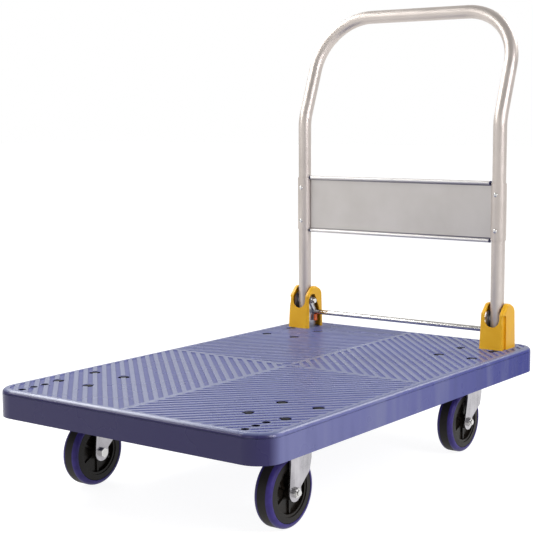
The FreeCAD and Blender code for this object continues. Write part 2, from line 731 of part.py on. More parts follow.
def makeRivets():
    rivets = []
    for x, z in rivetPlaces():
        face = f"({postY} - tubeRadius - saddleGap - saddleSheet)"
        head = rod("rivetHead", "rivetHeadHeight", x, f"{face} - rivetHeadHeight", z, "Y")
        shank = rod("rivetRadius", "saddleSheet + tubeWall + rivetGrip", x, face, z, "Y")
        rivets.append(fuse(head, shank))
    finish("panel_rivets", group(rivets))


# ---------------------------------------------------------------- hinge brackets
def bracketScrewPlaces(sign):
    return [
        (f"{sign} * {postX} + {i} * bracketScrewX / 2", f"{postY} + {j} * bracketScrewY / 2")
        for i in (-1, 1) for j in (-1, 1)
    ]


def makeBracket(side, sign):
    """A pressed steel U: two cheeks with round tops on a base screwed to the deck."""
    x = f"{sign} * {postX}"
    reach = "(tubeRadius + bracketGap + bracketSheet)"
    solids = [box(f"2 * {reach}", "bracketLength", "bracketBase", x, postY, deckTop)]
    for edge in (-1, 1):
        middle = f"{x} + {edge} * ({reach} - bracketSheet / 2)"
        solids.append(box("bracketSheet", "2 * cheekRadius", "pivotRise", middle, postY, deckTop))
        start = f"{middle} - bracketSheet / 2"
        solids.append(rod("cheekRadius", "bracketSheet", start, postY, pivotZ, "X"))
    tools = [rod("pivotRadius", f"2 * {reach}", f"{x} - {reach}", postY, pivotZ, "X")]
    tools += [rod("screwRadius", "bracketBase", screwX, screwY, deckTop)
              for screwX, screwY in bracketScrewPlaces(sign)]
    finish(f"{side}_hinge_bracket", cut(fuse(*solids), *tools))


def makeBracketScrews():
    screws = []
    for sign in sides.values():
        for x, y in bracketScrewPlaces(sign):
            seat = f"({deckTop} + bracketBase)"
            length = "screwLength + bracketBase"
            shank = rod("screwRadius", length, x, y, f"{deckTop} - screwLength")
            head = rod("screwHeadRadius", "screwHeadHeight", x, y, seat)
            screws.append(fuse(shank, head))
    finish("bracket_screws", group(screws))


def makePivotBolt(side, sign):
    """Built along +X from the inner end to the head outside the bracket."""
    inner = f"({coverWidth} / 2 + 2)"
    outer = "(tubeRadius + bracketGap + bracketSheet)"
    shank = rod("pivotRadius", f"{inner} + {outer}", f"-{inner}", 0, 0, "X")
    head = rod("pivotHeadRadius", "pivotHeadHeight", outer, 0, 0, "X")
    bolt = fuse(shank, head)
    if sign < 0:
        bolt.Placement.Rotation = FreeCAD.Rotation(FreeCAD.Vector(0, 0, 1), 180)
    finish(f"{side}_pivot_bolt", bolt, f"{sign} * {postX}", postY, pivotZ)


def coverBlock(name, inset):
    """The cover's outer form, or its hollow when inset by the wall: a front face, a sloped
    brow, a round hump and a steep back."""
    front, rear = f"(coverFront - {inset})", f"(coverRear - {inset})"
    height = f"(coverHeight - {inset})"
    body = newBody(name)
    sketch = sketchOn(body, "YZ_Plane")
    outline(sketch, [
        (f"-{front}", "0"), (rear, "0"), (f"{rear} - 4", f"{height} * 0.83"),
        (f"{rear} - 9", f"{height} * 0.92"), (f"{front} * 0.35", height),
        (f"-{front} * 0.12", height), (f"-{front} * 0.77", f"{height} * 0.79"),
    ])
    plain = pad(body, sketch, f"{coverWidth} - 2 * {inset}")
    crest = lambda edge: edge.BoundBox.XLength > 1 and edge.BoundBox.ZMin > 1
    crested = soften(body, plain, f"coverCrest - {inset}", crest)
    above = lambda edge: edge.BoundBox.ZMax > 1e-3 and edge.BoundBox.XLength < 1
    soften(body, crested, f"coverRound - {inset}", above)
    return body


def grooveTool(depth, extra, x, y):
    """A slot up the cover's outer side, open at its foot and round at its top."""
    width, top = f"(grooveWidth + 2 * {extra})", f"(grooveHeight - grooveWidth / 2)"
    stem = box(f"2 * ({depth})", width, top, x, y)
    head = rod(f"{width} / 2", f"2 * ({depth})", f"{x} - ({depth})", y, top, "X")
    return fuse(stem, head)


def makeCover(side, sign):
    body, hollow = coverBlock("Cover", "0"), coverBlock("CoverHollow", "coverWall")
    slot = "(tubeRadius + slotClearance)"
    slotBottom = "(pivotRise - tubeRadius - slotClearance / 2)"
    notch = box(f"2 * {slot}", "coverFront * 2", "coverHeight", 0, "-coverFront",
                f"{slotBottom} + {slot}")
    curve = rod(slot, "coverFront * 2", 0, "-coverFront * 2", f"{slotBottom} + {slot}", "Y")
    well = rod(slot, "coverHeight", 0, 0, f"{slotBottom} + {slot}")
    window = newBody("Window")
    opening = sketchOn(window, "YZ_Plane", z=f"{-sign} * {coverWidth} / 2")
    front = "(-coverFront * 0.7)"
    outline(opening, [
        (front, "-1"), (f"{front} + windowLength", "-1"),
        (f"{front} + windowLength", "windowHeight * 0.42"),
        (f"{front} + windowLength * 0.5", "windowHeight"),
        (f"{front} + windowLength * 0.15", "windowHeight"),
        (front, "windowHeight * 0.86"),
    ])
    cutter = pad(window, opening, "4 * coverWall")
    acrossCover = lambda edge: edge.BoundBox.XLength > 1 and edge.BoundBox.ZMin > 0
    soften(window, cutter, "coverRound", acrossCover)
    grooveX, grooveY = f"{sign} * {coverWidth} / 2", "(grooveInset + grooveWidth / 2 - coverFront)"
    groove = grooveTool("grooveDepth", "0", grooveX, grooveY)
    backing = grooveTool("grooveDepth + grooveWall", "grooveWall", grooveX, grooveY)
    cover = cut(body, cut(hollow, backing), notch, curve, well, window, groove)
    finish(f"{side}_hinge_cover", cover, f"{sign} * {postX}", postY, deckTop)


# ---------------------------------------------------------------- release bar
def makeReleaseLink(side, sign):
    """A flat link on the pivot bolt that carries the bar and the tail with its pad."""
    body = newBody("Link")
    eye = sketchOn(body, "YZ_Plane")
    circle(eye, "eyeRadius", "0", "0")
    pad(body, eye, "linkSheet")
    arm = sketchOn(body, "YZ_Plane")
    outline(arm, [
        ("-eyeRadius * 0.7", "-eyeRadius * 0.4"), ("barBack - linkBossRadius * 0.8", "-barDrop"),
        ("barBack + linkBossRadius * 0.8", "-barDrop"), ("eyeRadius * 0.7", "eyeRadius * 0.4"),
    ])
    pad(body, arm, "linkSheet")
    boss = sketchOn(body, "YZ_Plane")
    circle(boss, "linkBossRadius", "barBack", "-barDrop")
    pad(body, boss, "linkSheet")
    tail = sketchOn(body, "YZ_Plane")
    outline(tail, [
        ("barBack - 5", "-barDrop"), ("barBack - 8", "-tailDrop"),
        ("barBack + 1", "-tailDrop"), ("barBack + 5", "-barDrop"),
    ])
    pad(body, tail, "linkSheet")
    holes = sketchOn(body, "YZ_Plane")
    circle(holes, "pivotRadius + runningFit", "0", "0")
    circle(holes, "barRadius", "barBack", "-barDrop")
    pocket(body, holes, "2 * linkSheet")
    middle = f"{sign} * ({linkOuter} - linkSheet / 2)"
    finish(f"{side}_release_link", body, middle, postY, pivotZ)


def makeReleasePad(side, sign):
    middle = f"{sign} * ({linkOuter} - linkSheet - padWidth / 2)"
    y = f"{postY} + barBack - 3.5"
    z = f"{pivotZ} - tailDrop"
    solid = block("padWidth", "padLength", "padHeight", "padWidth * 0.4")
    finish(f"{side}_release_pad", solid, middle, y, z)


def makeReleaseSpring(side, sign):
    """The coil on the pivot bolt between the link and the cover, as its closed outer form."""
    length = "(springTurns * springPitch + 2 * springWire)"
    outer = rod("springRadius + springWire", length, f"-{length} / 2", 0, 0, "X")
    inner = rod("springRadius - springWire", length, f"-{length} / 2", 0, 0, "X")
    middle = f"{sign} * ({linkOuter} - linkSheet - clearance - {length} / 2)"
    finish(f"{side}_release_spring", cut(outer, inner), middle, postY, pivotZ)


def makeReleaseBar():
    length = f"2 * {linkOuter}"
    bar = rod("barRadius", length, axis="X")
    finish("release_bar", bar, f"-{linkOuter}", f"{postY} + barBack", f"{pivotZ} - barDrop")


def checkDocument():
    document.recompute()
    for item in document.Objects:
        bad = [state for state in item.State if state in ("Invalid", "Error")]
        assert not bad, f"{item.Name} ({item.Label}) is {bad}"
    for piece in subParts:
        shape = piece.Shape
        assert not shape.isNull() and shape.isValid(), f"{piece.Label} has no valid shape"
        assert shape.Volume > 0, f"{piece.Label} is empty"


makeDeck()
makeCasterBolts()
makeCasters()
makeHandleTube()
makePanel()
makeRivets()
makeBracketScrews()
makeReleaseBar()
for sideName, sideSign in sides.items():
    makeHandleFittings(sideName, sideSign)
    makeSaddle(sideName, sideSign)
    makeBracket(sideName, sideSign)
    makePivotBolt(sideName, sideSign)
    makeCover(sideName, sideSign)
    makeReleaseLink(sideName, sideSign)
    makeReleasePad(sideName, sideSign)
    makeReleaseSpring(sideName, sideSign)
checkDocument()

os.makedirs("parts", exist_ok=True)
for piece in subParts:
    piece.Shape.exportStep(f"parts/{piece.Label}.step")
    print(f"{piece.Label}: {len(piece.Shape.Solids)} solids, {piece.Shape.Volume / 1000:.1f} cm3")
print(len(subParts), "sub-parts")
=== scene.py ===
import json
import math

import bmesh
import bpy
from mathutils import Matrix, Vector

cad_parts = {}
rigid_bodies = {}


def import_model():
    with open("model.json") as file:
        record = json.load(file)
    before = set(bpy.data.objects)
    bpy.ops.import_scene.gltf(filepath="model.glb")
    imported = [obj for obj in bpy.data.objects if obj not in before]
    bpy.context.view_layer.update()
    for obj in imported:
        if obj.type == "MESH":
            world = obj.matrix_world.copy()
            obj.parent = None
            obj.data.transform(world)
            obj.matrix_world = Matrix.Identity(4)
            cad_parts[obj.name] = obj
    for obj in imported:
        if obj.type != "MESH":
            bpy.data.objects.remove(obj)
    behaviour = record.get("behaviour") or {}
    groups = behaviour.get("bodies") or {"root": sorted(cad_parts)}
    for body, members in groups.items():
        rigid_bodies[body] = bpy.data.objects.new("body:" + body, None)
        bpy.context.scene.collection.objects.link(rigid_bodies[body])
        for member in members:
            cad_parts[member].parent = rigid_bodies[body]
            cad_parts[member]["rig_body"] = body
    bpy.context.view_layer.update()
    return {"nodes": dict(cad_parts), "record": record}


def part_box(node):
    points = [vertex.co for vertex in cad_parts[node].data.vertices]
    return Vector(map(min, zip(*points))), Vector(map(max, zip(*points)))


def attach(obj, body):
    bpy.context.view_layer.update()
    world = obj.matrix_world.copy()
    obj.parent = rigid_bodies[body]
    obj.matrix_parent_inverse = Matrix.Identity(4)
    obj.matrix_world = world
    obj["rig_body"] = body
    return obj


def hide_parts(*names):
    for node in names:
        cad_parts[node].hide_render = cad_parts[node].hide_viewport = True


# Folding platform cart: the finishes, and the small parts that are too fine for the frame.
# Metres, +Z up, +Y towards the handle. Left is -X and right is +X, seen from the front end.
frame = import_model()
mm = 0.001
sides = ("left", "right")
wheels = [f"{end}_{side}" for end in ("front", "rear") for side in sides]
nodes = frame["nodes"]
bodyOf = {name: node["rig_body"] for name, node in nodes.items()}
slotOf = {part["node"]: part["material_slot"] for part in frame["record"]["subparts"]}
print("frame loaded:", len(nodes), "nodes")

view = {"place": (1.4175, -1.9408, 0.6646), "yaw": 35.09, "pitch": 6.54,
        "lens": 84.43, "shift": -0.0908}


def addCamera():
    data = bpy.data.cameras.new("view")
    data.sensor_width = 36
    data.lens = view["lens"]
    data.shift_x = view["shift"]
    data.clip_end = 100
    camera = bpy.data.objects.new("view", data)
    camera.location = view["place"]
    camera.rotation_euler = (math.radians(90 - view["pitch"]), 0, math.radians(view["yaw"]))
    bpy.context.scene.collection.objects.link(camera)
    bpy.context.scene.camera = camera


def linear(colour):
    # an sRGB hex colour as the linear numbers that shaders take
    parts = [int(colour[i:i + 2], 16) / 255 for i in (1, 3, 5)]
    return [c / 12.92 if c <= 0.04045 else ((c + 0.055) / 1.055) ** 2.4 for c in parts] + [1]


def addNode(tree, kind, inputs=None, **settings):
    # one node with its settings, its plain values and its links
    node = tree.nodes.new("ShaderNode" + kind)
    for key, value in settings.items():
        setattr(node, key, value)
    for key, value in (inputs or {}).items():
        if isinstance(value, bpy.types.NodeSocket):
            tree.links.new(value, node.inputs[key])
        else:
            node.inputs[key].default_value = value
    return node


def linkObject(name, mesh):
    piece = bpy.data.objects.new(name, mesh)
    bpy.context.scene.collection.objects.link(piece)
    return piece


def finishMesh(name, mesh):
    # a bmesh becomes an object with outward faces
    bmesh.ops.remove_doubles(mesh, verts=mesh.verts, dist=1e-6)
    bmesh.ops.recalc_face_normals(mesh, faces=mesh.faces)
    data = bpy.data.meshes.new(name)
    mesh.to_mesh(data)
    mesh.free()
    return linkObject(name, data)


studio = {
    "floorSize": 60, "floorDrop": 0.5 * mm, "floor": "#808080", "floorGlow": 0.91,
    "floorRoughness": 0.7,
    "skyBright": 0.68, "skyDim": 0.33, "backdrop": 1.0,
    "brightWay": (-0.46, 0.86, 0.20), "brightFrom": 0.20, "brightFull": 0.95,
    "aim": (0, 0, 0.25),
    "lights": [
        # name, place, length, height, watts, colour
        ("left strip light", (-2.2, -0.2, 2.3), 2.6, 0.9, 64, "#ffffff"),
        ("left rear strip light", (-2.3, 1.5, 1.8), 1.3, 0.5, 10, "#ffffff"),
        ("left front strip light", (-2.3, -2.3, 1.7), 1.3, 0.7, 18, "#ffffff"),
        ("back softbox", (1.1, 2.6, 2.5), 1.5, 1.5, 45, "#ffffff"),
        ("right softbox", (2.4, -0.2, 1.5), 1.1, 1.1, 36, "#fbfaff"),
        ("front softbox", (0.0, -3.3, 1.5), 1.5, 1.5, 9, "#fffdf8"),
    ],
}


def addStudio():
    mesh = bmesh.new()
    bmesh.ops.create_grid(mesh, x_segments=1, y_segments=1, size=studio["floorSize"] / 2)
    floor = finishMesh("floor", mesh)
    floor.location.z = -studio["floorDrop"]
    floor.visible_diffuse = False
    paint = bpy.data.materials.new("matt white floor")
    paint.use_nodes = True
    sockets = paint.node_tree.nodes["Principled BSDF"].inputs
    sockets["Base Color"].default_value = linear(studio["floor"])
    sockets["Roughness"].default_value = studio["floorRoughness"]
    sockets["Emission Color"].default_value = (1, 1, 1, 1)
    sockets["Emission Strength"].default_value = studio["floorGlow"]
    floor.data.materials.append(paint)

    for name, place, length, height, watts, colour in studio["lights"]:
        data = bpy.data.lights.new(name, "AREA")
        data.shape = "RECTANGLE"
        data.size, data.size_y = length, height
        data.energy = watts
        data.color = linear(colour)[:3]
        lamp = bpy.data.objects.new(name, data)
        lamp.location = place
        way = Vector(studio["aim"]) - Vector(place)
        lamp.rotation_euler = way.to_track_quat("-Z", "Y").to_euler()
        bpy.context.scene.collection.objects.link(lamp)

    world = bpy.data.worlds.new("studio")
    bpy.context.scene.world = world
    world.use_nodes = True
    tree = world.node_tree
    tree.nodes.clear()
    way = addNode(tree, "TexCoord")
    toward = addNode(tree, "VectorMath", {0: way.outputs["Generated"], 1: studio["brightWay"]},
                     operation="DOT_PRODUCT")
    level = addNode(tree, "MapRange", {"Value": toward.outputs["Value"],
                    "From Min": studio["brightFrom"], "From Max": studio["brightFull"],
                    "To Min": studio["skyDim"], "To Max": studio["skyBright"]},
                    interpolation_type="SMOOTHSTEP")
    room = addNode(tree, "Background", {"Color": (1, 1, 1, 1), "Strength": level.outputs["Result"]})
    backdrop = addNode(tree, "Background", {"Color": (1, 1, 1, 1), "Strength": studio["backdrop"]})
    ray = addNode(tree, "LightPath")
    both = addNode(tree, "MixShader", {0: ray.outputs["Is Camera Ray"],
                   1: room.outputs[0], 2: backdrop.outputs[0]})
    addNode(tree, "OutputWorld", {"Surface": both.outputs[0]})
    bpy.context.scene.view_settings.view_transform = "Standard"


addCamera()
addStudio()
print("camera, floor and lights set")

finishes = {}


def startFinish(name, **sockets):
    # a material with its Principled shader, and the coordinates that its patterns read
    material = bpy.data.materials.new(name)
    material.use_nodes = True
    tree = material.node_tree
    tree.nodes.clear()
    shader = addNode(tree, "BsdfPrincipled", sockets)
    addNode(tree, "OutputMaterial", {"Surface": shader.outputs[0]})
    where = addNode(tree, "TexCoord")
    return material, tree, shader, where


def noiseAt(tree, where, size, detail, stretch=(1, 1, 1)):
    # noise whose patches are about that size in metres
    spread = addNode(tree, "Mapping", {"Vector": where, "Scale": stretch})
    return addNode(tree, "TexNoise", {"Vector": spread.outputs[0], "Scale": 1 / size,
                   "Detail": detail, "Roughness": 0.5}).outputs["Fac"]


def ramp(tree, value, low, high, toLow=0.0, toHigh=1.0):
    return addNode(tree, "MapRange", {"Value": value, "From Min": low, "From Max": high,
                   "To Min": toLow, "To Max": toHigh}).outputs["Result"]


def blend(tree, factor, first, second):
    # mixes two colours, given as hex or as a socket
    colours = [linear(c) if isinstance(c, str) else c for c in (first, second)]
    return addNode(tree, "Mix", {0: factor, 6: colours[0], 7: colours[1]},
                   data_type="RGBA").outputs[2]


def bumpy(tree, shader, height, distance, strength):
    bump = addNode(tree, "Bump", {"Height": height, "Distance": distance, "Strength": strength})
    tree.links.new(bump.outputs[0], shader.inputs["Normal"])


def maths(tree, operation, first, second=0.0):
    return addNode(tree, "Math", {0: first, 1: second}, operation=operation).outputs[0]


deckLook = {
    # valley paints shade in the channels, flank a pale painted highlight on the groove walls, hole
    # painted shade in the holes
    "ridge": "#62698f", "valley": "#454b86", "flank": "#8f93c0", "hole": "#121128",
    # sideNear to sideFar and end paint light and shade on the outer walls; scuff is real wear on top
    # and a painted sheen in the wall streaks
    "sideNear": "#787bae", "sideFar": "#202a8a", "end": "#2f2960", "scuff": "#8d92b0",
    "corner": 45 * mm, "edge": 9 * mm, "groove": 1.2 * mm, "recess": 7 * mm,
    "tieInner": 7.6 * mm, "tieOuter": 8.0 * mm,
    "patch": 160 * mm, "scratch": 4 * mm, "streak": 50 * mm, "swell": 50 * mm, "ribPitch": 95 * mm,
    "grain": 1.6 * mm,  # a moulded grain is nearer 0.3 mm, drawn coarse enough to show
    "roughness": (0.24, 0.32), "topGloss": 0.5, "sideGloss": (0.34, 0.08), "grooveGloss": 0.28,
    "scuffing": 0.12, "relief": 0.5 * mm, "reliefStrength": 0.5, "grainPart": 0.08, "swellPart": 1.6,
}


def flatReach(tree, where, middle, half, corner):
    # how far out a point lies past the straight part of each edge, so that corners count as round
    shifted = addNode(tree, "VectorMath", {0: where.outputs["Object"], 1: (0, middle.y, 0)},
                      operation="SUBTRACT")
    folded = addNode(tree, "VectorMath", {0: shifted.outputs[0]}, operation="ABSOLUTE")
    straight = (half.x - corner, half.y - corner, 10)
    past = addNode(tree, "VectorMath", {0: folded.outputs[0], 1: straight}, operation="SUBTRACT")
    beyond = addNode(tree, "VectorMath", {0: past.outputs[0], 1: (0, 0, 0)}, operation="MAXIMUM")
    return addNode(tree, "VectorMath", {0: beyond.outputs[0]}, operation="LENGTH").outputs["Value"]


def sunkWalls(tree, place, facing, top):
    # the walls of the bolt recesses, below the grooves, where the hole colour paints shade
    under, floor = top - 1.2 * deckLook["groove"], top - deckLook["recess"]
    deep = maths(tree, "MULTIPLY", ramp(tree, place["Z"], under, under - 0.5 * mm),
                 ramp(tree, place["Z"], floor - mm, floor))
    return maths(tree, "MULTIPLY", deep, ramp(tree, facing["Z"], -0.6, -0.4))


def tieWalls(tree, place, upward):
    # the tie holes' walls, up to the top, where the hole colour paints shade; the holes lie in two
    # lines, evenly spaced
    mounts = frame["record"]["mounts"]
    ties = sorted(mount["pos_m"] for mount in mounts if "tie_hole" in mount["name"])
    first, pitch = ties[0], ties[1][1] - ties[0][1]
    last = ties[2][1]
    across = maths(tree, "SUBTRACT", maths(tree, "ABSOLUTE", place["X"]), abs(first[0]))
    along = maths(tree, "PINGPONG", maths(tree, "SUBTRACT", place["Y"], first[1]), pitch / 2)
    apart = addNode(tree, "CombineXYZ", {0: across, 1: along})
    near = addNode(tree, "VectorMath", {0: apart.outputs[0]}, operation="LENGTH").outputs["Value"]
    walls = maths(tree, "MULTIPLY", ramp(tree, near, deckLook["tieOuter"], deckLook["tieInner"]),
                  maths(tree, "SUBTRACT", 1.0, upward))
    return maths(tree, "MULTIPLY", walls, ramp(tree, place["Y"], last + pitch, last + pitch / 2))


def deckPlastic():
    # injection-moulded polypropylene: an even soft shine, worn a little paler in scuffs on top, the
    # channels painted darker and duller as shade, painted highlight on the groove flanks, painted
    # shade in the holes, with faint sink marks where the ribs meet the walls
    material, tree, shader, where = startFinish("moulded polypropylene, violet blue", IOR=1.49)
    spot = where.outputs["Object"]
    low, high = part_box("deck")
    middle, half, top = (low + high) / 2, (high - low) / 2, high.z
    place = addNode(tree, "SeparateXYZ", {0: spot}).outputs
    facing = addNode(tree, "SeparateXYZ", {0: where.outputs["Normal"]}).outputs
    upward = ramp(tree, facing["Z"], 0.5, 0.9)
    corner, edge = deckLook["corner"], deckLook["edge"]
    reach = flatReach(tree, where, middle, half, corner)
    within = ramp(tree, reach, corner - edge, corner - edge - mm)

    # the tread: ridges, channels painted darker as shade, the flanks between them painted pale as a
    # highlight, and the bolt and tie holes painted near black as shade
    groove = deckLook["groove"]
    ridge = ramp(tree, place["Z"], top - 0.7 * groove, top - 0.3 * groove)
    level = blend(tree, ridge, deckLook["valley"], deckLook["ridge"])
    tread = blend(tree, upward, deckLook["flank"], level)
    tread = blend(tree, sunkWalls(tree, place, facing, top), tread, deckLook["hole"])
    tread = blend(tree, tieWalls(tree, place, upward), tread, deckLook["hole"])

    # the outside walls: painted lighter towards the front end and darker towards the back as light
    # falls, with painted highlight and shade streaks along the long sides, and painted shade on the
    # two ends
    side = blend(tree, ramp(tree, place["Y"], low.y, high.y), deckLook["sideNear"],
                 deckLook["sideFar"])
    # light streaks in the scuff colour are a painted highlight; dark streaks in the valley colour
    # are painted shade
    sheenAndShadeStreaks = noiseAt(tree, spot, deckLook["streak"], 2, (0.02, 1, 0.12))
    side = blend(tree, ramp(tree, sheenAndShadeStreaks, 0.54, 0.70, 0, 0.30), side, deckLook["scuff"])
    side = blend(tree, ramp(tree, sheenAndShadeStreaks, 0.46, 0.34, 0, 0.35), side, deckLook["valley"])
    # the end walls painted darker as shade, by which way they face
    endShade = ramp(tree, maths(tree, "ABSOLUTE", facing["Y"]), 0.12, 0.55)
    wall = blend(tree, endShade, side, deckLook["end"])
    outside = blend(tree, upward, wall, deckLook["ridge"])
    plain = blend(tree, within, outside, tread)

    patches = noiseAt(tree, spot, deckLook["patch"], 4)
    scratches = noiseAt(tree, spot, deckLook["scratch"], 2, (1, 0.06, 1))
    worn = maths(tree, "MULTIPLY", ramp(tree, scratches, 0.60, 0.72),
                 ramp(tree, patches, 0.45, 0.65))
    worn = maths(tree, "MULTIPLY", worn, maths(tree, "MULTIPLY", upward, deckLook["scuffing"]))
    tree.links.new(blend(tree, worn, plain, deckLook["scuff"]), shader.inputs["Base Color"])
    tree.links.new(ramp(tree, patches, 0.3, 0.7, *deckLook["roughness"]),
                   shader.inputs["Roughness"])
    dull = maths(tree, "MULTIPLY", within, maths(tree, "SUBTRACT", 1.0, ridge))
    sideGloss = ramp(tree, place["Y"], low.y, high.y, *deckLook["sideGloss"])
    gloss = addNode(tree, "Mix", {0: ramp(tree, facing["Z"], 0.05, 0.3), 2: sideGloss,
                    3: deckLook["topGloss"]}).outputs[0]
    gloss = maths(tree, "MULTIPLY", ramp(tree, dull, 0, 1, 1, deckLook["grooveGloss"]), gloss)
    tree.links.new(gloss, shader.inputs["Specular IOR Level"])

    # a wave of bands has its period at a scale of 0.31416 over the spacing
    marks = addNode(tree, "TexWave", {"Vector": spot, "Scale": 0.31416 / deckLook["ribPitch"]},
                    bands_direction="Y")
    sink = ramp(tree, marks.outputs["Fac"], 0.80, 1.0, 0, 0.5)
    swell = noiseAt(tree, spot, deckLook["swell"], 1, (1, 1, 0.3))
    grain = noiseAt(tree, spot, deckLook["grain"], 2)
    relief = maths(tree, "ADD", maths(tree, "MULTIPLY", grain, deckLook["grainPart"]),
                   maths(tree, "MULTIPLY", swell, deckLook["swellPart"]))
    bumpy(tree, shader, maths(tree, "ADD", relief, sink), deckLook["relief"],
          deckLook["reliefStrength"])
    return material


coverLook = {"dark": "#ebaf1b", "light": "#f2b924", "roughness": (0.34, 0.46), "gloss": 0.38,
             "patch": 30 * mm, "grain": 1.2 * mm}  # the spark grain is drawn coarse enough to show


def coverPlastic():
    # moulded polypropylene again, in a warm golden yellow, with a fine spark grain
    material, tree, shader, where = startFinish("moulded polypropylene, golden yellow", **{
        "IOR": 1.49, "Specular IOR Level": coverLook["gloss"]})
    patches = noiseAt(tree, where.outputs["Object"], coverLook["patch"], 3)
    spread = ramp(tree, patches, 0.3, 0.7)
    tree.links.new(blend(tree, spread, coverLook["dark"], coverLook["light"]),
                   shader.inputs["Base Color"])
    tree.links.new(ramp(tree, patches, 0.3, 0.7, *coverLook["roughness"]),
                   shader.inputs["Roughness"])
    grain = noiseAt(tree, where.outputs["Object"], coverLook["grain"], 2)
    bumpy(tree, shader, grain, 0.05 * mm, 0.6)
    return material


plasticLook = {
    # slot: name, darker, lighter, roughness, gloss
    "pad_plastic": ("moulded acetal, orange", "#d2561a", "#e0682a", 0.35, 0.5),  # waxy shine
    "plug_plastic": ("moulded nylon, black", "#151515", "#202020", 0.40, 0.5),  # satin
    "bush_plastic": ("moulded acetal, white", "#d8d6cf", "#e6e4dd", 0.35, 0.5),  # milky
    "hub_plastic": ("moulded polypropylene, black", "#17130f", "#221d18", 0.24, 0.2),  # deep black
}


def smallPlastic(name, dark, light, roughness, gloss):
    # small moulded plastic part, a little uneven in tone
    material, tree, shader, where = startFinish(name, **{"IOR": 1.50, "Specular IOR Level": gloss})
    patches = noiseAt(tree, where.outputs["Object"], 8 * mm, 3)
    tree.links.new(blend(tree, ramp(tree, patches, 0.3, 0.7), dark, light),
                   shader.inputs["Base Color"])
    tree.links.new(ramp(tree, patches, 0.3, 0.7, roughness, roughness + 0.12),
                   shader.inputs["Roughness"])
    bumpy(tree, shader, noiseAt(tree, where.outputs["Object"], 1.0 * mm, 2), 0.04 * mm, 0.5)
    return material


even = (1, 1, 1)
steelLook = {
    # slot: name, darker, lighter, roughness, patch, grain, stretch of the grain, metallic, gloss
    # satin silver stove enamel with metal flake, which gives wide soft highlights
    "handle_steel": ("silver coated steel tube", "#c6bdb6", "#d1c8c1",
                     0.42, 50 * mm, 1.2 * mm, even, 0.75, 0.5),
    # bright zinc plating with faint upright clouds, drawn larger than the real crystals
    "zinc_steel": ("bright zinc plated steel", "#9a989c", "#c0bec2",
                   0.27, 30 * mm, 9 * mm, (1, 1, 0.08), 1.0, 0.5),
    "bracket_steel": ("zinc plated steel sheet", "#b4b6bb", "#cfd1d6",
                      0.30, 10 * mm, 1.5 * mm, even, 1.0, 0.5),
    # polished along its length, so the shine is drawn out that way
    "bar_chrome": ("polished nickel plate", "#d8d5d0", "#e8e5e0",
                   0.16, 30 * mm, 1.2 * mm, (0.05, 1, 1), 1.0, 0.5),
    "bright_fastener": ("bright zinc fastener", "#c9c8c6", "#dddcda",
                        0.26, 6 * mm, 1.2 * mm, even, 1.0, 0.5),
    # oiled black oxide swallows nearly all light, so it is drawn as a dull dark skin
    "dark_fastener": ("black oxide fastener", "#08080c", "#121216",
                      0.60, 6 * mm, 1.2 * mm, even, 0.0, 0.1),
}


def plainSteel(name, dark, light, roughness, patch, grain, stretch, metallic, gloss):
    # plated, brushed or coated steel: tone and shine drift in soft patches over a fine grain
    material, tree, shader, where = startFinish(name, **{
        "Metallic": metallic, "Specular IOR Level": gloss})
    patches = noiseAt(tree, where.outputs["Object"], patch, 4)
    lines = noiseAt(tree, where.outputs["Object"], grain, 3, stretch)
    tone = maths(tree, "ADD", maths(tree, "MULTIPLY", patches, 0.6),
                 maths(tree, "MULTIPLY", lines, 0.4))
    tree.links.new(blend(tree, ramp(tree, tone, 0.35, 0.65), dark, light),
                   shader.inputs["Base Color"])
    tree.links.new(ramp(tree, tone, 0.3, 0.7, roughness - 0.05, roughness + 0.08),
                   shader.inputs["Roughness"])
    bumpy(tree, shader, lines, 0.03 * mm, 0.4)
    return material


panelLook = {"sheet": "#c8c3be", "sheetLight": "#d0cbc7", "bead": "#dedbd8", "seam": "#34345a",
             "metallic": 0.6, "roughness": 0.42, "patch": 90 * mm, "grain": 1.2 * mm,
             "beadHeight": 8 * mm, "seamHeight": 2.6 * mm, "end": 3 * mm}


def sheetSteel():
    # silver coated steel sheet: satin and even, with a painted highlight along the rolled beads, a
    # painted shadow at the seam where each bead closes on the sheet, deeper towards +X, and painted
    # shade in the open ends
    material, tree, shader, where = startFinish("silver coated steel sheet", **{
        "Metallic": panelLook["metallic"], "Roughness": panelLook["roughness"]})
    low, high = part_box("sign_panel")
    place = addNode(tree, "SeparateXYZ", {0: where.outputs["Object"]}).outputs
    patches = noiseAt(tree, where.outputs["Object"], panelLook["patch"], 4)
    lines = noiseAt(tree, where.outputs["Object"], panelLook["grain"], 3)
    base = blend(tree, ramp(tree, patches, 0.35, 0.65), panelLook["sheet"],
                 panelLook["sheetLight"])
    middle, half = (low.z + high.z) / 2, (high.z - low.z) / 2
    out = maths(tree, "ABSOLUTE", maths(tree, "SUBTRACT", place["Z"], middle))
    inner = half - panelLook["beadHeight"]
    # the beads painted paler as a highlight, the seam and the open ends painted dark as shadow and
    # shade
    bead = ramp(tree, out, inner, inner + 0.6 * mm)
    seam = maths(tree, "MULTIPLY",
                 ramp(tree, out, inner - panelLook["seamHeight"], inner - 1.6 * mm),
                 maths(tree, "SUBTRACT", 1.0, bead))
    seam = maths(tree, "MULTIPLY", seam, ramp(tree, place["X"], low.x, high.x, 0.35, 0.9))
    across = maths(tree, "ABSOLUTE", place["X"])
    ends = maths(tree, "MULTIPLY", bead,
                 ramp(tree, across, high.x - panelLook["end"], high.x - 2 * mm))
    coloured = blend(tree, bead, blend(tree, seam, base, panelLook["seam"]), panelLook["bead"])
    coloured = blend(tree, ends, coloured, panelLook["seam"])
    tree.links.new(coloured, shader.inputs["Base Color"])
    bumpy(tree, shader, lines, 0.03 * mm, 0.4)
    return material


cushionLook = {"dark": "#171412", "light": "#211d1b", "roughness": 0.40, "gloss": 0.2,
               "patch": 20 * mm, "grain": 1.4 * mm}


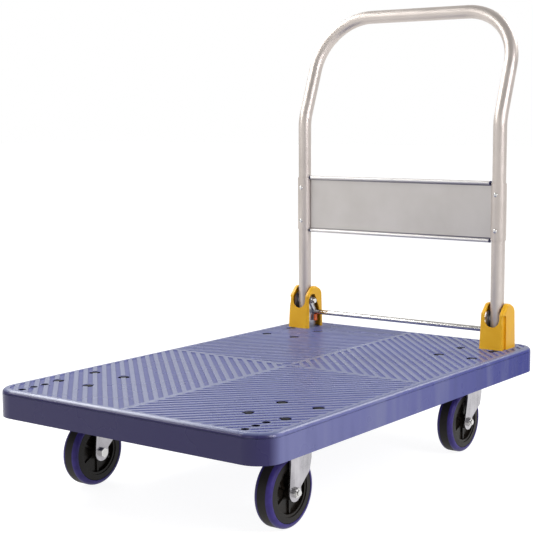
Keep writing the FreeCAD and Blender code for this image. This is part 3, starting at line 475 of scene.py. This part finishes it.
def cushionRubber():
    # soft thermoplastic elastomer: matt, with a dusty bloom in patches
    material, tree, shader, where = startFinish("soft elastomer, black", **{
        "IOR": 1.50, "Specular IOR Level": cushionLook["gloss"]})
    patches = noiseAt(tree, where.outputs["Object"], cushionLook["patch"], 4)
    tree.links.new(blend(tree, ramp(tree, patches, 0.35, 0.7), cushionLook["dark"],
                         cushionLook["light"]), shader.inputs["Base Color"])
    roughness = cushionLook["roughness"]
    tree.links.new(ramp(tree, patches, 0.3, 0.7, roughness - 0.08, roughness + 0.08),
                   shader.inputs["Roughness"])
    grain = noiseAt(tree, where.outputs["Object"], cushionLook["grain"], 3)
    bumpy(tree, shader, grain, 0.06 * mm, 0.5)
    return material


treadLook = {"band": "#1b1817", "bandLight": "#262220",
             "shoulder": "#392e72", "shoulderLight": "#4a3d92",
             "bandHalf": 8 * mm, "seam": 1.2 * mm, "patch": 20 * mm, "grain": 1.4 * mm,
             "bandRoughness": 0.62, "shoulderRoughness": 0.42, "gloss": 0.25}


def treadRubber():
    # two rubbers in one moulding: a matt black running band between satin violet shoulders
    material, tree, shader, where = startFinish("moulded rubber, black and violet", **{
        "IOR": 1.50, "Specular IOR Level": treadLook["gloss"]})
    low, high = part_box("front_right_wheel_tread")
    place = addNode(tree, "SeparateXYZ", {0: where.outputs["Object"]}).outputs
    sideways = maths(tree, "SUBTRACT", maths(tree, "ABSOLUTE", place["X"]), (low.x + high.x) / 2)
    shoulder = ramp(tree, maths(tree, "ABSOLUTE", sideways), treadLook["bandHalf"],
                    treadLook["bandHalf"] + treadLook["seam"])
    patches = noiseAt(tree, where.outputs["Object"], treadLook["patch"], 4)
    mottled = ramp(tree, patches, 0.35, 0.7)
    band = blend(tree, mottled, treadLook["band"], treadLook["bandLight"])
    violet = blend(tree, mottled, treadLook["shoulder"], treadLook["shoulderLight"])
    tree.links.new(blend(tree, shoulder, band, violet), shader.inputs["Base Color"])
    tree.links.new(ramp(tree, shoulder, 0, 1, treadLook["bandRoughness"],
                        treadLook["shoulderRoughness"]), shader.inputs["Roughness"])
    grain = noiseAt(tree, where.outputs["Object"], treadLook["grain"], 3)
    bumpy(tree, shader, grain, 0.06 * mm, 0.5)
    return material


def makeFinishes():
    finishes["deck_plastic"] = deckPlastic()
    finishes["cover_plastic"] = coverPlastic()
    finishes["tread_rubber"] = treadRubber()
    finishes["cushion_rubber"] = cushionRubber()
    finishes["panel_steel"] = sheetSteel()
    for slot, look in plasticLook.items():
        finishes[slot] = smallPlastic(*look)
    for slot, look in steelLook.items():
        finishes[slot] = plainSteel(*look)


def paintNode(piece, finish):
    piece.data.materials.clear()
    piece.data.materials.append(finishes[finish])


makeFinishes()
print("finishes made:", len(finishes))

for name, node in nodes.items():
    paintNode(node, slotOf[name])
print("frame painted")

smoothAngle = math.radians(28)


def shadeSmooth(piece):
    data = piece.data
    data.polygons.foreach_set("use_smooth", [True] * len(data.polygons))
    data.set_sharp_from_angle(angle=smoothAngle)


springLook = {"turns": 3, "wire": 0.6 * mm, "ring": 12, "steps": 40}


def tube(mesh, start, end, radius, ring=32):
    # a closed rod along X between two points, made where it lies
    length = end.x - start.x
    turn = Matrix.Rotation(math.radians(90), 4, "Y")
    place = Matrix.Translation((start + end) / 2) @ turn
    made = bmesh.ops.create_cone(mesh, cap_ends=True, segments=ring, radius1=radius,
                                 radius2=radius, depth=length, matrix=place)
    return made["verts"]


def makeSpring(side):
    # an open coil round the pivot bolt, inside the space of the frame's plain sleeve
    low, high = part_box(f"{side}_release_spring")
    wire = springLook["wire"]
    centre = (low + high) / 2
    radius = (high.z - low.z) / 2 - wire
    steps = springLook["turns"] * springLook["steps"]
    rise = (high.x - low.x - 2 * wire) / steps
    mesh = bmesh.new()
    place = Matrix.Translation((low.x + wire, centre.y, centre.z + radius))
    turn = Matrix.Rotation(math.radians(90), 4, "X")
    bmesh.ops.create_circle(mesh, segments=springLook["ring"], radius=wire, matrix=place @ turn)
    bmesh.ops.spin(mesh, geom=mesh.edges[:], cent=centre, axis=(1, 0, 0), dvec=(rise, 0, 0),
                   angle=2 * math.pi * springLook["turns"], steps=steps)
    bmesh.ops.holes_fill(mesh, edges=[edge for edge in mesh.edges if edge.is_boundary])
    coil = finishMesh(f"{side}_spring_coil", mesh)
    shadeSmooth(coil)
    paintNode(coil, "bright_fastener")
    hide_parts(f"{side}_release_spring")
    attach(coil, bodyOf[f"{side}_release_spring"])


# the collar's length and radius are parts of the nut's own
nutLook = {"chamfer": 1.1 * mm, "collar": 0.28, "collarRadius": 0.80, "rim": 0.5 * mm}


def hexHead(mesh, near, far, radius):
    # a hexagon along X whose outer corners are chamfered as a turned nut's are
    verts = tube(mesh, Vector((min(near, far), 0, 0)), Vector((max(near, far), 0, 0)), radius, 6)
    outer = [v for v in verts if abs(v.co.x - far) < 1e-6]
    bmesh.ops.bevel(mesh, geom=outer, affect="VERTICES", offset=nutLook["chamfer"], segments=2,
                    profile=0.5, material=-1)


def makeNut(wheel):
    name = f"{wheel}_axle_nut"
    low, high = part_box(name)
    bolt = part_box(f"{wheel}_axle_bolt")
    centre = (low + high) / 2
    outward = 1 if abs(high.x - bolt[1].x) < abs(low.x - bolt[0].x) else -1
    near, far = (low.x, high.x) if outward > 0 else (high.x, low.x)
    radius = max(high.y - low.y, high.z - low.z) / 2
    shoulder = far - outward * nutLook["collar"] * (high.x - low.x)
    mesh = bmesh.new()
    hexHead(mesh, near, shoulder, radius)
    rod = tube(mesh, Vector((min(shoulder, far), 0, 0)), Vector((max(shoulder, far), 0, 0)),
               radius * nutLook["collarRadius"])
    rim = [e for e in mesh.edges if all(v in rod and abs(v.co.x - far) < 1e-6 for v in e.verts)]
    bmesh.ops.bevel(mesh, geom=rim, affect="EDGES", offset=nutLook["rim"], segments=3,
                    profile=0.5, material=-1)
    bmesh.ops.translate(mesh, verts=mesh.verts, vec=(0, centre.y, centre.z))
    nut = finishMesh(f"{wheel}_lock_nut", mesh)
    shadeSmooth(nut)
    paintNode(nut, "bright_fastener")
    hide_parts(name)
    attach(nut, bodyOf[name])


for side in sides:
    makeSpring(side)
for wheel in wheels:
    makeNut(wheel)
print("springs and nuts made")


rivetLook = {"head": 4.5 * mm, "dome": 1.8 * mm, "shank": 2.4 * mm, "around": 28, "rings": 12,
             "shankAround": 24}


def makeRivets():
    # domed heads on the front of the sleeves, their shanks through the tube wall
    low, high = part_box("panel_rivets")
    head = rivetLook["head"]
    mesh = bmesh.new()
    for x in (low.x + head, high.x - head):
        for z in (low.z + head, high.z - head):
            face = low.y + rivetLook["dome"]
            flat = Matrix.Diagonal((1, rivetLook["dome"] / head, 1, 1))
            upright = Matrix.Rotation(math.radians(90), 4, "X")
            made = bmesh.ops.create_uvsphere(
                mesh, u_segments=rivetLook["around"], v_segments=rivetLook["rings"],
                radius=head, matrix=Matrix.Translation((x, face, z)) @ flat @ upright)
            ball = made["verts"]
            edges = {edge for v in ball for edge in v.link_edges}
            faces = {f for v in ball for f in v.link_faces}
            bmesh.ops.bisect_plane(mesh, geom=list(ball) + list(edges) + list(faces),
                                   plane_co=(x, face, z), plane_no=(0, 1, 0), clear_outer=True,
                                   dist=1e-7)
            shank = Matrix.Translation((x, (face + high.y) / 2, z)) @ upright
            bmesh.ops.create_cone(mesh, cap_ends=True, segments=rivetLook["shankAround"],
                                  radius1=rivetLook["shank"], radius2=rivetLook["shank"],
                                  depth=high.y - face, matrix=shank)
    bmesh.ops.holes_fill(mesh, edges=[edge for edge in mesh.edges if edge.is_boundary])
    rivets = finishMesh("panel_rivet_heads", mesh)
    shadeSmooth(rivets)
    paintNode(rivets, "bright_fastener")
    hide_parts("panel_rivets")
    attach(rivets, bodyOf["panel_rivets"])


makeRivets()
print("rivets made")
